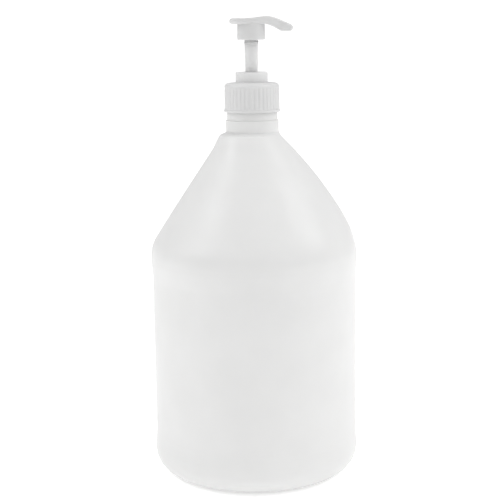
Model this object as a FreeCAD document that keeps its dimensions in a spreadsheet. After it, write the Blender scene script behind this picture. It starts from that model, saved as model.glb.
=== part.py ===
import FreeCAD, Part
import math
import os

import Sketcher

# A gallon oil jug with a lock-down lotion pump, +Z up, in millimetres. The origin is the middle of the
# jug's foot, and the spout points along +X. The jug is blow moulded, the pump hangs in its neck, and a
# ribbed screw closure holds the pump's flange down on the rim.

SHEET_NAME = "Dims"
ZERO = 1e-9
SHOULDER_RINGS = 8
SWELL_POWER = 1.25

DIMS = {
    # jug
    "jug_radius": 77.5, "jug_wall": 1.2, "heel_radius": 17.3, "foot_inner": 52.0, "push_up": 4.0,
    "bead_top": 23.1, "panel_low": 26.5, "panel_high": 158.6, "bead_bottom": 161.7, "panel_recess": 0.8,
    "shoulder_low": 168.2, "shoulder_round": 11.0, "cone_low": 174.2, "cone_low_radius": 75.7,
    "cone_high": 255.5, "cone_high_radius": 22.6, "fullness": 5.3, "full_side": 30.0,
    "ring_low": 257.6, "ring_high": 266.5, "ring_radius": 19.65, "land_radius": 18.75, "land_high": 272.0,
    "neck_step": 275.6, "thread_root": 17.4, "thread_crest": 18.65, "rim_height": 289.1, "bore_radius": 15.4,
    # 38 mm finish thread
    "pitch": 4.233, "thread_turns": 1.0, "thread_low": 280.0, "thread_half": 1.1, "thread_tip": 0.5,
    # closure
    "cap_low": 272.4, "cap_band": 274.2, "cap_band_radius": 20.85, "cap_low_radius": 20.45,
    "cap_high_radius": 20.15, "cap_inner": 18.95, "cap_corner": 3.0, "cap_high": 293.4, "cap_dome": 294.1,
    "cap_dome_radius": 12.4, "cap_hole": 10.4, "cap_ceiling": 291.95, "cap_crest": 17.75,
    "flute_radius": 1.2, "flute_depth": 0.3, "flute_high": 289.6, "flute_count": 40,
    # gasket and pump housing
    "flange_low": 290.3, "flange_high": 291.9, "flange_radius": 17.2, "gasket_inner": 9.9,
    "house_radius": 9.7, "house_bore": 8.4, "house_neck": 10.1, "house_top": 299.0,
    "chamber_low": 240.0, "chamber_floor": 1.6, "valve_bore": 4.8, "seat_high": 232.8, "seat_low": 230.0,
    "orifice": 2.0, "socket_high": 227.0, "socket_low": 214.5, "socket_radius": 4.05, "nose_radius": 5.9,
    "nose_high": 233.5, "vent_height": 286.5, "vent_radius": 0.5,
    # valve cage, spring and inlet ball
    "cage_radius": 8.2, "cage_top": 241.2, "cage_wall": 0.9, "cage_stop": 238.0, "cage_floor": 0.9,
    "cage_hole": 1.1, "cage_hole_ring": 2.3, "cage_hole_count": 5,
    "wire_radius": 0.5, "coil_radius": 6.2, "spring_top": 275.9, "spring_turns": 8.0,
    "inlet_ball_radius": 3.175, "seat_gap": 0.03,
    # dip tube
    "dip_radius": 4.0, "dip_bore": 3.0, "dip_top": 226.9, "dip_low": 8.0, "dip_bevel": 4.0,
    # lock collar and wiper
    "collar_low": 294.5, "collar_high": 301.4, "collar_radius": 11.85, "collar_skirt": 10.15,
    "collar_chamfer": 0.7, "collar_plate": 299.3, "sleeve_low": 286.0, "sleeve_radius": 8.35,
    "guide_radius": 5.05, "lock_bore": 5.9, "lock_floor": 296.6, "lock_pitch": 2.2, "lock_turns": 1.5,
    "lock_depth": 0.45, "wiper_low": 287.5, "wiper_high": 289.5, "wiper_seat": 6.1, "wiper_bore": 4.98,
    # stem
    "stem_top": 327.0, "stem_step": 320.3, "spigot_radius": 4.0, "stem_high_radius": 4.9,
    "stem_low_radius": 4.55, "stem_bore": 2.6, "stem_seat": 325.6, "stem_throat": 2.0, "stem_cup": 3.4,
    "snap_high": 282.0, "snap_low": 271.2, "snap_radius": 3.6, "stem_low": 270.0, "snap_bead": 4.1,
    "outlet_ball_radius": 3.0,
    # piston
    "piston_low": 271.5, "piston_high": 281.9, "piston_bore": 3.65, "piston_core": 5.2, "lip_radius": 8.35,
    "lip_wall": 0.8, "lip_low": 272.5, "lip_high": 283.5, "web_low": 276.0, "web_high": 277.5,
    # head
    "plate_low": 336.2, "skirt_low": 324.8, "skirt_radius": 10.2, "skirt_wall": 1.2, "skirt_roof": 334.6,
    "boss_radius": 4.95, "boss_thread": 5.45, "head_socket": 4.02, "head_chamber": 3.6, "ball_stop": 332.6,
    "head_throat": 2.2, "channel_height": 337.9, "lip_end": 15.8, "lip_rise": 339.0, "lip_crest_x": 13.5,
    "lip_crest": 339.9, "saddle_x": 2.4, "saddle": 340.9, "saddle_curve": 40.0, "arch_x": 21.0,
    "arch": 338.9, "arch_curve": 26.0, "spout_x": 30.6, "spout_top": 335.1, "spout_low": 330.7,
    "spout_top_x": 28.8, "spout_kink": 21.0, "arch_under_x": 12.4, "arch_under": 335.5,
    "plate_half": 11.0, "plate_wide_x": 4.8, "spout_half": 3.4, "spout_root_half": 4.4,
    "plate_side_curve": 62.0, "channel_radius": 1.0, "mouth_height": 332.9, "channel_bend": 334.8,
    "channel_rise_x": 11.0,
    # small gaps
    "gap": 0.3,
}


class Size:
    """A length that knows both its value in millimetres and the sheet formula that gives it."""

    def __init__(self, value, formula):
        self.value = value
        self.formula = formula

    def joined(self, other, sign, swap=False):
        if not isinstance(other, Size):
            other = Size(float(other), repr(float(other)))
        first, second = (other, self) if swap else (self, other)
        a, b = first.value, second.value
        value = {"+": a + b, "-": a - b, "*": a * b, "/": a / b if b else 0.0}[sign]
        return Size(value, f"({first.formula} {sign} {second.formula})")

    def __add__(self, other):
        return self.joined(other, "+")

    def __radd__(self, other):
        return self.joined(other, "+", swap=True)

    def __sub__(self, other):
        return self.joined(other, "-")

    def __rsub__(self, other):
        return self.joined(other, "-", swap=True)

    def __mul__(self, other):
        return self.joined(other, "*")

    def __rmul__(self, other):
        return self.joined(other, "*", swap=True)

    def __truediv__(self, other):
        return self.joined(other, "/")

    def __neg__(self):
        return 0.0 - self


ORIGIN = Size(0.0, "0.0")


class Sizes:
    """The driving dimensions by name: sizes.jug_radius is a Size bound to the sheet's cell."""

    def __init__(self, sheet):
        for row, (alias, number) in enumerate(DIMS.items(), start=1):
            sheet.set(f"A{row}", alias)
            sheet.set(f"B{row}", repr(number))
            sheet.setAlias(f"B{row}", alias)
            setattr(self, alias, Size(float(number), f"{SHEET_NAME}.{alias}"))


# ---------------------------------------------------------------- sketches and features

def new_body(label):
    body = doc.addObject("PartDesign::Body", label)
    body.Label = label
    return body


def origin_feature(body, role):
    return next(f for f in body.Origin.OriginFeatures if f.Role == role)


def new_sketch(body, name, role="XZ_Plane", lift=None):
    """A sketch on one of the body's own planes, lifted along the plane's normal if lift is given."""
    sketch = body.newObject("Sketcher::SketchObject", name)
    sketch.AttachmentSupport = [(origin_feature(body, role), "")]
    sketch.MapMode = "FlatFace"
    if lift is not None:
        sketch.AttachmentOffset = FreeCAD.Placement(FreeCAD.Vector(0, 0, lift.value), FreeCAD.Rotation())
        sketch.setExpression("AttachmentOffset.Base.z", lift.formula)
    return sketch


def bind(sketch, constraint, size):
    index = sketch.addConstraint(constraint)
    sketch.setExpression(f"Constraints[{index}]", size.formula)


def pin(sketch, geometry, end, point):
    """Holds one end of a geometry at a point of the sheet's own dimensions."""
    for kind, axis, size in (("DistanceX", -2, point[0]), ("DistanceY", -1, point[1])):
        if abs(size.value) < ZERO:
            sketch.addConstraint(Sketcher.Constraint("PointOnObject", geometry, end, axis))
        else:
            bind(sketch, Sketcher.Constraint(kind, -1, 1, geometry, end, size.value), size)


def vector(point):
    return FreeCAD.Vector(point[0].value, point[1].value, 0)


def arc_between(first, last, radius, side):
    """The minor arc from first to last, bulging to the left of the way for side 1, to the right for -1."""
    chord = last - first
    half = chord.Length / 2
    rise = math.sqrt(max(radius * radius - half * half, 0.0))
    left = FreeCAD.Vector(-chord.y, chord.x, 0).normalize()
    centre = (first + last) * 0.5 - left * (rise * side)
    start, stop = (last, first) if side > 0 else (first, last)
    low = math.atan2(start.y - centre.y, start.x - centre.x)
    high = math.atan2(stop.y - centre.y, stop.x - centre.x)
    if high < low:
        high += 2 * math.pi
    return Part.ArcOfCircle(Part.Circle(centre, FreeCAD.Vector(0, 0, 1), radius), low, high)


def outline(sketch, corners):
    """Draws a closed outline. A corner is (x, y), or (x, y, radius, side) when an arc leaves it."""
    ends = []
    for i, corner in enumerate(corners):
        after = corners[(i + 1) % len(corners)]
        first, last = vector(corner), vector(after)
        if len(corner) == 4:
            radius, side = corner[2], corner[3]
            geometry = sketch.addGeometry(arc_between(first, last, radius.value, side), False)
            ends.append((geometry, 2, 1) if side > 0 else (geometry, 1, 2))
        else:
            geometry = sketch.addGeometry(Part.LineSegment(first, last), False)
            ends.append((geometry, 1, 2))
    for i, corner in enumerate(corners):
        geometry, start, _ = ends[i]
        before, _, stop = ends[i - 1]
        sketch.addConstraint(Sketcher.Constraint("Coincident", before, stop, geometry, start))
        pin(sketch, geometry, start, corner)
        if len(corner) == 4:
            bind(sketch, Sketcher.Constraint("Radius", geometry, corner[2].value), corner[2])


def circle(sketch, centre, radius):
    spot = Part.Circle(vector(centre), FreeCAD.Vector(0, 0, 1), radius.value)
    geometry = sketch.addGeometry(spot, False)
    pin(sketch, geometry, 3, centre)
    bind(sketch, Sketcher.Constraint("Radius", geometry, radius.value), radius)


def revolve(body, name, corners, kind="Revolution"):
    """Turns an outline in the body's XZ plane a full circle about the Z axis."""
    sketch = new_sketch(body, f"{name}_outline")
    outline(sketch, corners)
    feature = body.newObject(f"PartDesign::{kind}", name)
    feature.Profile = sketch
    feature.ReferenceAxis = (sketch, ["V_Axis"])
    feature.Angle = 360
    return feature


def turned(label, corners):
    """A piece that is one turned outline."""
    body = new_body(label)
    revolve(body, f"{label}_turning", corners)
    return body


def thread_ridge(body, name, root, crest, low, half, tip, pitch, turns):
    """A trapezoid ridge swept along a right-hand helix, root radius to crest radius."""
    sketch = new_sketch(body, f"{name}_section")
    outline(sketch, [(root, low - half), (crest, low - tip), (crest, low + tip), (root, low + half)])
    ridge = body.newObject("PartDesign::AdditiveHelix", name)
    ridge.Profile = sketch
    ridge.ReferenceAxis = (sketch, ["V_Axis"])
    ridge.Mode = 0
    ridge.setExpression("Pitch", pitch.formula)
    ridge.setExpression("Height", (pitch * turns).formula)
    ridge.Pitch = pitch.value
    ridge.Height = (pitch * turns).value
    return ridge


def pocket(body, name, sketch, length, reverse):
    feature = body.newObject("PartDesign::Pocket", name)
    feature.Profile = sketch
    feature.Length = length.value
    feature.setExpression("Length", length.formula)
    feature.Reversed = reverse
    return feature


def repeat_round(body, name, feature, count):
    """Repeats a feature evenly about the Z axis and makes the result the body's tip."""
    pattern = body.newObject("PartDesign::PolarPattern", name)
    pattern.Originals = [feature]
    pattern.Axis = (origin_feature(body, "Z_Axis"), [""])
    pattern.Angle = 360
    pattern.Occurrences = int(count.value)
    pattern.setExpression("Occurrences", count.formula)
    body.Tip = pattern
    return pattern


def expect_less(before, feature, what):
    """Stops if a cut took nothing away."""
    doc.recompute()
    if feature.Shape.Volume >= before - ZERO:
        raise RuntimeError(f"{what} cut nothing")


# ---------------------------------------------------------------- the jug

def shoulder_section(body, name, share, inset):
    """One ring of the conical shoulder, set over towards its fuller side so that the other stays straight."""
    z = d.cone_low + (d.cone_high - d.cone_low) * share
    radius = d.cone_low_radius + (d.cone_high_radius - d.cone_low_radius) * share - inset
    swell = math.sin(math.pi * share) ** SWELL_POWER if 0 < share < 1 else 0.0
    shift = d.fullness * (swell / 2)
    sketch = new_sketch(body, name, "XY_Plane", z)
    along = math.radians(d.full_side.value)
    circle(sketch, (shift * math.cos(along), shift * math.sin(along)), radius + shift)
    return sketch


def jug_solid(label, inset, skin):
    """The jug's outer form for an inset of 0, or its cavity for an inset of the wall."""
    body = new_body(label)
    steep = d.cone_low_radius - inset
    floor = d.push_up + inset
    dome = (d.foot_inner * d.foot_inner + d.push_up * d.push_up) / (d.push_up * 2)
    side = d.jug_radius - inset
    panel = side - d.panel_recess
    heel = d.heel_radius - inset
    revolve(body, f"{label}_turning", [
        (ORIGIN, floor, dome, 1),
        (d.foot_inner, inset),
        (d.jug_radius - d.heel_radius, inset, heel, -1),
        (side, d.heel_radius),
        (side, d.bead_top),
        (panel, d.panel_low),
        (panel, d.panel_high),
        (side, d.bead_bottom),
        (side, d.shoulder_low, d.shoulder_round, -1),
        (steep, d.cone_low),
        (ORIGIN, d.cone_low),
    ])
    rings = [
        shoulder_section(body, f"{label}_ring_{i}", i / SHOULDER_RINGS, inset)
        for i in range(SHOULDER_RINGS + 1)
    ]
    loft = body.newObject("PartDesign::AdditiveLoft", f"{label}_shoulder")
    loft.Profile = rings[0]
    loft.Sections = rings[1:]
    loft.Ruled = False
    if skin:
        root = d.thread_root
        revolve(body, f"{label}_neck", [
            (ORIGIN, d.cone_high),
            (d.cone_high_radius, d.cone_high),
            (d.ring_radius, d.ring_low),
            (d.ring_radius, d.ring_high - d.gap),
            (d.land_radius, d.ring_high),
            (d.land_radius, d.land_high),
            (root, d.neck_step),
            (root, d.rim_height - d.gap),
            (root - d.gap, d.rim_height),
            (ORIGIN, d.rim_height),
        ])
        ridge = thread_ridge(body, f"{label}_thread", root - d.gap, d.thread_crest, d.thread_low,
                             d.thread_half, d.thread_tip, d.pitch, d.thread_turns)
        body.Tip = ridge
    else:
        revolve(body, f"{label}_bore", [
            (ORIGIN, d.cone_high - d.gap),
            (d.cone_high_radius - inset, d.cone_high - d.gap),
            (d.cone_high_radius - inset, d.cone_high),
            (d.bore_radius, d.ring_low + inset * 2),
            (d.bore_radius, d.rim_height + inset),
            (ORIGIN, d.rim_height + inset),
        ])
    return body


def make_bottle():
    outside = jug_solid("jug_outside", ORIGIN, skin=True)
    inside = jug_solid("jug_cavity", d.jug_wall, skin=False)
    bottle = doc.addObject("Part::Cut", "bottle")
    bottle.Base = outside
    bottle.Tool = inside
    bottle.Label = "bottle"
    return bottle


# ---------------------------------------------------------------- closure and gasket

def make_closure():
    body = new_body("closure")
    revolve(body, "closure_turning", [
        (d.cap_inner, d.cap_low),
        (d.cap_band_radius, d.cap_low),
        (d.cap_band_radius, d.cap_band - d.gap),
        (d.cap_low_radius, d.cap_band),
        (d.cap_high_radius, d.flute_high),
        (d.cap_high_radius, d.cap_high - d.cap_corner, d.cap_corner, -1),
        (d.cap_high_radius - d.cap_corner, d.cap_high),
        (d.cap_dome_radius, d.cap_dome),
        (d.cap_hole, d.cap_dome),
        (d.cap_hole, d.cap_ceiling),
        (d.cap_inner, d.cap_ceiling),
    ])
    ridge = thread_ridge(body, "closure_thread", d.cap_inner + d.gap, d.cap_crest, d.thread_low - d.pitch / 2,
                         d.thread_half, d.thread_tip, d.pitch, d.thread_turns)
    doc.recompute()
    solid = ridge.Shape.Volume
    sketch = new_sketch(body, "flute_section", "XY_Plane", d.cap_band)
    reach = d.cap_high_radius + d.flute_radius - d.flute_depth
    aside = math.pi / d.flute_count.value
    circle(sketch, (reach * math.cos(aside), reach * math.sin(aside)), d.flute_radius)
    flute = pocket(body, "flute", sketch, d.flute_high - d.cap_band, reverse=True)
    expect_less(solid, flute, "the flute")
    repeat_round(body, "flutes", flute, d.flute_count)
    return body


def make_gasket():
    return turned("gasket", [
        (d.gasket_inner, d.rim_height),
        (d.flange_radius, d.rim_height),
        (d.flange_radius, d.flange_low),
        (d.gasket_inner, d.flange_low),
    ])


# ---------------------------------------------------------------- pump housing and valve

def make_pump_housing():
    body = new_body("pump_housing")
    turning = revolve(body, "housing_turning", [
        (d.socket_radius, d.socket_low),
        (d.nose_radius, d.socket_low),
        (d.nose_radius, d.nose_high),
        (d.house_radius, d.chamber_low - d.chamber_floor),
        (d.house_radius, d.flange_low),
        (d.flange_radius, d.flange_low),
        (d.flange_radius, d.flange_high),
        (d.house_neck, d.flange_high),
        (d.house_neck, d.house_top),
        (d.house_bore, d.house_top),
        (d.house_bore, d.chamber_low),
        (d.valve_bore, d.chamber_low),
        (d.valve_bore, d.seat_high),
        (d.orifice, d.seat_low),
        (d.orifice, d.socket_high),
        (d.socket_radius, d.socket_high),
    ])
    doc.recompute()
    solid = turning.Shape.Volume
    sketch = new_sketch(body, "vent_section", "YZ_Plane")
    circle(sketch, (ORIGIN, d.vent_height), d.vent_radius)
    vent = pocket(body, "vent", sketch, d.house_radius + d.gap, reverse=True)
    expect_less(solid, vent, "the vent")
    body.Tip = vent
    return body


def make_valve_cage():
    body = new_body("valve_cage")
    cup = d.valve_bore - d.gap
    turning = revolve(body, "cage_turning", [
        (ORIGIN, d.cage_stop),
        (cup, d.cage_stop),
        (cup, d.chamber_low),
        (d.cage_radius, d.chamber_low),
        (d.cage_radius, d.cage_top),
        (cup - d.cage_wall, d.cage_top),
        (cup - d.cage_wall, d.cage_stop + d.cage_floor),
        (ORIGIN, d.cage_stop + d.cage_floor),
    ])
    doc.recompute()
    solid = turning.Shape.Volume
    sketch = new_sketch(body, "cage_hole_section", "XY_Plane", d.cage_stop)
    circle(sketch, (d.cage_hole_ring, ORIGIN), d.cage_hole)
    hole = pocket(body, "cage_hole", sketch, d.cage_floor, reverse=True)
    expect_less(solid, hole, "the cage hole")
    repeat_round(body, "cage_holes", hole, d.cage_hole_count)
    return body


def ball(label, radius, throat, seat):
    """A valve ball resting a hair above its 45 degree seat, whose throat circle lies at height seat."""
    sphere = doc.addObject("Part::Sphere", label)
    sphere.Label = label
    sphere.Radius = radius.value
    sphere.setExpression("Radius", radius.formula)
    centre = seat - throat + radius * math.sqrt(2) + d.seat_gap
    sphere.Placement.Base = FreeCAD.Vector(0, 0, centre.value)
    sphere.setExpression("Placement.Base.z", centre.formula)
    return sphere


def make_inlet_ball():
    return ball("inlet_ball", d.inlet_ball_radius, d.orifice, d.seat_low)


def make_outlet_ball():
    return ball("outlet_ball", d.outlet_ball_radius, d.stem_throat, d.stem_seat)


def make_return_spring():
    body = new_body("return_spring")
    low = d.cage_top + d.wire_radius + d.gap / 6
    high = d.spring_top - d.wire_radius
    section = new_sketch(body, "wire_section")
    circle(section, (d.coil_radius, low), d.wire_radius)
    coil = body.newObject("PartDesign::AdditiveHelix", "coil")
    coil.Profile = section
    coil.ReferenceAxis = (section, ["V_Axis"])
    coil.Mode = 0
    coil.Pitch = ((high - low) / d.spring_turns).value
    coil.Height = (high - low).value
    coil.setExpression("Pitch", ((high - low) / d.spring_turns).formula)
    coil.setExpression("Height", (high - low).formula)
    return body


def make_dip_tube():
    body = new_body("dip_tube")
    turning = revolve(body, "tube_turning", [
        (d.dip_bore, d.dip_low),
        (d.dip_radius, d.dip_low),
        (d.dip_radius, d.dip_top),
        (d.dip_bore, d.dip_top),
    ])
    doc.recompute()
    solid = turning.Shape.Volume
    sketch = new_sketch(body, "bevel_section")
    outline(sketch, [
        (-d.dip_radius - d.gap, d.dip_low - d.gap),
        (d.dip_radius - d.gap, d.dip_low - d.gap),
        (-d.dip_radius - d.gap, d.dip_low + d.dip_bevel),
    ])
    bevel = pocket(body, "bevel", sketch, d.dip_radius * 2 + d.gap, reverse=False)
    bevel.Midplane = True
    expect_less(solid, bevel, "the bevel")
    body.Tip = bevel
    return body


# ---------------------------------------------------------------- lock collar, wiper, stem and piston

def make_lock_collar():
    body = new_body("lock_collar")
    revolve(body, "collar_turning", [
        (d.guide_radius, d.sleeve_low),
        (d.sleeve_radius, d.sleeve_low),
        (d.sleeve_radius, d.collar_plate),
        (d.collar_skirt, d.collar_plate),
        (d.collar_skirt, d.collar_low),
        (d.collar_radius - d.collar_chamfer, d.collar_low),
        (d.collar_radius, d.collar_low + d.collar_chamfer),
        (d.collar_radius, d.collar_high - d.gap),
        (d.collar_radius - d.gap, d.collar_high),
        (d.lock_bore, d.collar_high),
        (d.lock_bore, d.lock_floor),
        (d.guide_radius, d.lock_floor),
        (d.guide_radius, d.wiper_high),
        (d.wiper_seat, d.wiper_high),
        (d.wiper_seat, d.wiper_low),
        (d.guide_radius, d.wiper_low),
    ])
    thread_ridge(body, "collar_thread", d.lock_bore + d.gap, d.lock_bore - d.lock_depth,
                 d.lock_floor + d.lock_depth * 2, d.lock_depth, d.lock_depth / 3, d.lock_pitch, d.lock_turns)
    return body


def make_stem_wiper():
    half = (d.wiper_high - d.wiper_low) / 2
    return turned("stem_wiper", [
        (d.wiper_seat, d.wiper_low),
        (d.wiper_seat, d.wiper_high),
        (d.guide_radius, d.wiper_high),
        (d.wiper_bore, d.wiper_low + half),
        (d.guide_radius, d.wiper_low),
    ])


def make_stem():
    return turned("stem", [
        (d.stem_bore, d.stem_low),
        (d.snap_bead, d.stem_low),
        (d.snap_bead, d.snap_low),
        (d.snap_radius, d.snap_low),
        (d.snap_radius, d.snap_high),
        (d.stem_low_radius, d.snap_high),
        (d.stem_low_radius, d.collar_high),
        (d.stem_high_radius, d.stem_step),
        (d.spigot_radius, d.stem_step),
        (d.spigot_radius, d.stem_top),
        (d.stem_cup, d.stem_top),
        (d.stem_throat, d.stem_seat),
        (d.stem_throat, d.stem_step),
        (d.stem_bore, d.stem_step - d.gap * 2),
    ])


def make_piston():
    inner = d.lip_radius - d.lip_wall
    return turned("piston", [
        (d.piston_bore, d.piston_low),
        (d.piston_core, d.piston_low),
        (d.piston_core, d.web_low),
        (inner, d.web_low),
        (inner, d.lip_low),
        (d.lip_radius, d.lip_low),
        (d.lip_radius - d.gap / 2, d.web_low),
        (d.lip_radius - d.gap / 2, d.web_high),
        (d.lip_radius, d.lip_high),
        (inner, d.lip_high),
        (inner, d.web_high),
        (d.piston_core, d.web_high),
        (d.piston_core, d.piston_high),
        (d.piston_bore, d.piston_high),
    ])


# ---------------------------------------------------------------- actuator head

def head_plate(body):
    """The saddle: its side view padded across, then trimmed to its plan."""
    side = new_sketch(body, "plate_side")
    outline(side, [
        (-d.skirt_radius, d.plate_low),
        (d.skirt_radius - d.gap, d.plate_low),
        (d.arch_under_x, d.arch_under),
        (d.spout_kink, d.spout_low),
        (d.spout_x, d.spout_low),
        (d.spout_x - d.gap, d.spout_top - d.gap),
        (d.spout_top_x, d.spout_top),
        (d.arch_x, d.arch, d.arch_curve, -1),
        (d.saddle_x, d.saddle, d.saddle_curve, 1),
        (-d.lip_crest_x, d.lip_crest),
        (-d.lip_end, d.lip_rise),
        (-d.lip_end + d.gap, d.plate_low + d.gap),
    ])
    plate = body.newObject("PartDesign::Pad", "plate")
    plate.Profile = side
    plate.Midplane = True
    plate.Length = (d.plate_half * 3).value
    plate.setExpression("Length", (d.plate_half * 3).formula)
    doc.recompute()
    block = plate.Shape.Volume

    far = d.plate_half * 4
    plan = new_sketch(body, "plate_plan", "XY_Plane", d.spout_low - d.gap)
    outline(plan, [(-far, -far), (far, -far), (far, far), (-far, far)])
    outline(plan, [
        (-d.plate_wide_x, -d.plate_half, d.plate_side_curve, -1),
        (d.spout_kink, -d.spout_root_half),
        (d.spout_x + d.gap, -d.spout_half),
        (d.spout_x + d.gap, d.spout_half),
        (d.spout_kink, d.spout_root_half, d.plate_side_curve, -1),
        (-d.plate_wide_x, d.plate_half, d.plate_half, -1),
        (-d.plate_wide_x - d.plate_half, ORIGIN, d.plate_half, -1),
    ])
    trim = pocket(body, "plate_trim", plan, d.plate_half * 2, reverse=True)
    expect_less(block, trim, "the plan trim")


def straight_bore(name, first, last, radius):
    """A round bore in the XZ plane from one point to another, with a ball end at its start."""
    across, up = last[0] - first[0], last[1] - first[1]
    way = FreeCAD.Vector(across.value, 0, up.value)
    start = FreeCAD.Vector(first[0].value, 0, first[1].value)
    bore = doc.addObject("Part::Cylinder", name)
    bore.setExpression("Radius", radius.formula)
    bore.setExpression("Height", f"sqrt({across.formula}^2 + {up.formula}^2)")
    bore.Placement = FreeCAD.Placement(start, FreeCAD.Rotation(FreeCAD.Vector(0, 0, 1), way))
    end = doc.addObject("Part::Sphere", f"{name}_end")
    end.setExpression("Radius", radius.formula)
    end.Placement.Base = start
    return [bore, end]


def spout_channel():
    """The passage from the valve chamber along the arched spout to its mouth."""
    corners = [(ORIGIN, d.channel_height), (d.channel_rise_x, d.channel_height),
               (d.spout_kink, d.channel_bend), (d.spout_x + d.gap, d.mouth_height)]
    runs = []
    for i in range(len(corners) - 1):
        runs += straight_bore(f"channel_{i}", corners[i], corners[i + 1], d.channel_radius)
    channel = doc.addObject("Part::MultiFuse", "channel")
    channel.Shapes = runs
    return channel


def make_pump_head():
    body = new_body("head_body")
    head_plate(body)
    revolve(body, "skirt", [
        (d.head_throat, d.stem_step),
        (d.boss_radius, d.stem_step),
        (d.boss_radius, d.skirt_roof),
        (d.skirt_radius - d.skirt_wall, d.skirt_roof),
        (d.skirt_radius - d.skirt_wall, d.skirt_low),
        (d.skirt_radius, d.skirt_low),
        (d.skirt_radius, d.plate_low + d.gap),
        (d.head_throat, d.plate_low + d.gap),
    ])
    ridge = thread_ridge(body, "boss_thread", d.boss_radius - d.gap, d.boss_thread,
                         d.stem_step + d.lock_depth * 2, d.lock_depth, d.lock_depth / 3,
                         d.lock_pitch, d.lock_turns)
    doc.recompute()
    solid = ridge.Shape.Volume
    bore = revolve(body, "head_bore", [
        (ORIGIN, d.stem_step - d.gap),
        (d.head_socket, d.stem_step - d.gap),
        (d.head_socket, d.stem_top),
        (d.head_chamber, d.stem_top),
        (d.head_chamber, d.ball_stop),
        (d.head_throat, d.ball_stop + d.gap * 2),
        (d.head_throat, d.channel_height),
        (ORIGIN, d.channel_height),
    ], kind="Groove")
    expect_less(solid, bore, "the head's bore")
    body.Tip = bore
    head = doc.addObject("Part::Cut", "pump_head")
    head.Base = body
    head.Tool = spout_channel()
    head.Label = "pump_head"
    return head


# ---------------------------------------------------------------- building and writing

MAKERS = [
    make_bottle, make_closure, make_gasket, make_pump_housing, make_valve_cage, make_inlet_ball,
    make_return_spring, make_dip_tube, make_lock_collar, make_stem_wiper, make_stem, make_outlet_ball,
    make_piston, make_pump_head,
]

os.makedirs("parts", exist_ok=True)
doc = FreeCAD.newDocument("pump_oil_bottle")
sheet = doc.addObject("Spreadsheet::Sheet", SHEET_NAME)
d = Sizes(sheet)
doc.recompute()
pieces = [make() for make in MAKERS]
doc.recompute()

failed = [thing.Name for thing in doc.Objects if "Invalid" in thing.State or "Error" in thing.State]
failed += [piece.Label for piece in pieces if piece.Shape.isNull() or not piece.Shape.isValid()]
if failed:
    raise RuntimeError(f"these did not build: {failed}")
for piece in pieces:
    piece.Shape.exportStep(f"parts/{piece.Label}.step")
    print(f"{piece.Label}: {piece.Shape.Volume:.1f} mm3, {len(piece.Shape.Solids)} solid")
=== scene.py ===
import math

import bmesh
import bpy
from mathutils import Matrix, Vector, noise


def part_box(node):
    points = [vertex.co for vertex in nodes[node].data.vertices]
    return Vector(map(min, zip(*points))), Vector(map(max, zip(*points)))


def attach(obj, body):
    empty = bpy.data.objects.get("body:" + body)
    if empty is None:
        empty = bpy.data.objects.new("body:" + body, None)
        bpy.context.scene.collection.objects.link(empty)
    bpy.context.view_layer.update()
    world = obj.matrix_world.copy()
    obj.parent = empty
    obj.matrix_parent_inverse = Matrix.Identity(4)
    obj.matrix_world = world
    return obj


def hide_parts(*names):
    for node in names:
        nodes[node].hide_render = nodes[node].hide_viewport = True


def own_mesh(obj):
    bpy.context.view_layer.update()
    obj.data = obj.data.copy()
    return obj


# The looks of a gallon oil jug with a lock-down lotion pump. Outlines are (radius, height, corner radius) in
# millimetres, heights measured from the foot, and are turned about the Z axis.

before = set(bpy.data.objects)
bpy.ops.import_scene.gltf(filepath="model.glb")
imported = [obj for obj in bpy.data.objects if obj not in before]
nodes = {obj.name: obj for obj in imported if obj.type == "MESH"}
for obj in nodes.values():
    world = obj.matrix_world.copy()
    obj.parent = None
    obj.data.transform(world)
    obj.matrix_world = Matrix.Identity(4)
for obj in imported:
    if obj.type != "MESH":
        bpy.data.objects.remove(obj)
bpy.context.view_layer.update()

MM = 0.001
TURN = 2 * math.pi


# ---------------------------------------------------------------- sizes read from the frame, in millimetres

def low(name):
    """The least x, y and z of a CAD node."""
    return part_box(name)[0] / MM


def high(name):
    """The greatest x, y and z of a CAD node."""
    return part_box(name)[1] / MM


JUG_RADIUS = high("bottle").x
RIM = high("bottle").z
CAP_LOW, CAP_HIGH = low("closure").z, high("closure").z
CAP_BAND = high("closure").x
COLLAR_LOW, COLLAR_HIGH = low("lock_collar").z, high("lock_collar").z
COLLAR_RADIUS = high("lock_collar").x
HEAD_LOW, HEAD_HIGH = low("pump_head").z, high("pump_head").z
SPOUT_END = high("pump_head").x
LIP_END = -low("pump_head").x
PLATE_HALF = high("pump_head").y
SPRING_LOW, SPRING_HIGH = low("return_spring").z, high("return_spring").z
SPRING_RADIUS = high("return_spring").x
STEM_LOW, STEM_HIGH = low("stem").z, high("stem").z


# ---------------------------------------------------------------- outlines

def rounded(corners, steps=6):
    """A path of (x, y) points through corners (x, y, radius), each corner rounded by an arc of its radius."""
    path = []
    for i, (x, y, radius) in enumerate(corners):
        here = Vector((x, y))
        if radius == 0:
            path.append(here)
            continue
        back = (Vector(corners[i - 1][:2]) - here).normalized()
        ahead = (Vector(corners[(i + 1) % len(corners)][:2]) - here).normalized()
        half_turn = (math.pi - back.angle(ahead)) / 2
        centre = here + (back + ahead).normalized() * (radius / math.cos(half_turn))
        first = here + back * (radius * math.tan(half_turn)) - centre
        last = here + ahead * (radius * math.tan(half_turn)) - centre
        sweep = math.atan2(first.x * last.y - first.y * last.x, first.dot(last))
        for k in range(steps + 1):
            path.append(centre + Matrix.Rotation(sweep * k / steps, 2) @ first)
    return path


def spaced(path, longest):
    """The same path with points added, so that no run is longer than longest."""
    result = [path[0]]
    for a, b in zip(path, path[1:]):
        count = max(1, math.ceil((b - a).length / longest))
        result += [a.lerp(b, k / count) for k in range(1, count + 1)]
    return result


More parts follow.
